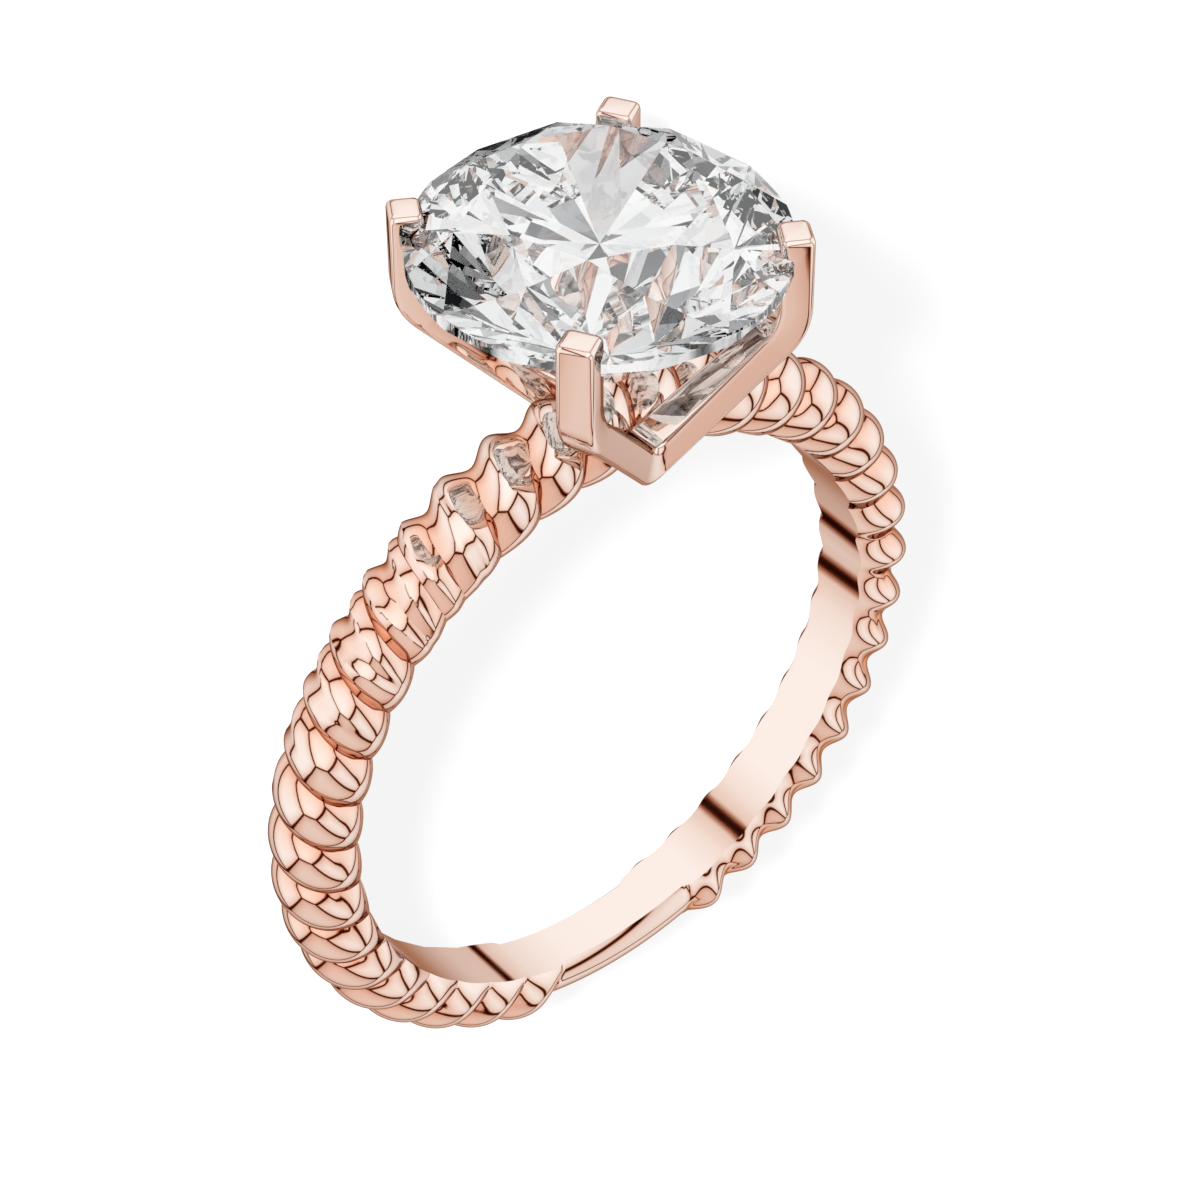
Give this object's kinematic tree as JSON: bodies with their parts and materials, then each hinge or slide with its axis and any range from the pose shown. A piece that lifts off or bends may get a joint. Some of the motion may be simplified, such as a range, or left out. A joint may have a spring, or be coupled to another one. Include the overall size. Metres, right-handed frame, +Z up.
{
  "type": "twisted shank ring",
  "caption": "Solitaire ring lying on its side: twisted rope shank with a plain bar at the bottom, and a round brilliant in corner prongs that meet in V feet over the shank.",
  "frame": {"origin": "middle of the bounding box's base, on the surface that the ring rests on", "axes": "the ring lies on its side: +Z up, +Y from the head towards the plain bar at the bottom of the shank, +X across the finger hole"},
  "size_m": [0.0208, 0.0262, 0.0093],
  "materials": {
    "rose_gold": "polished rose gold",
    "diamond": "polished facets"
  },
  "bodies": {
    "root": {"ring_metal": "rose_gold", "stone": "diamond"}
  },
  "joints": []
}
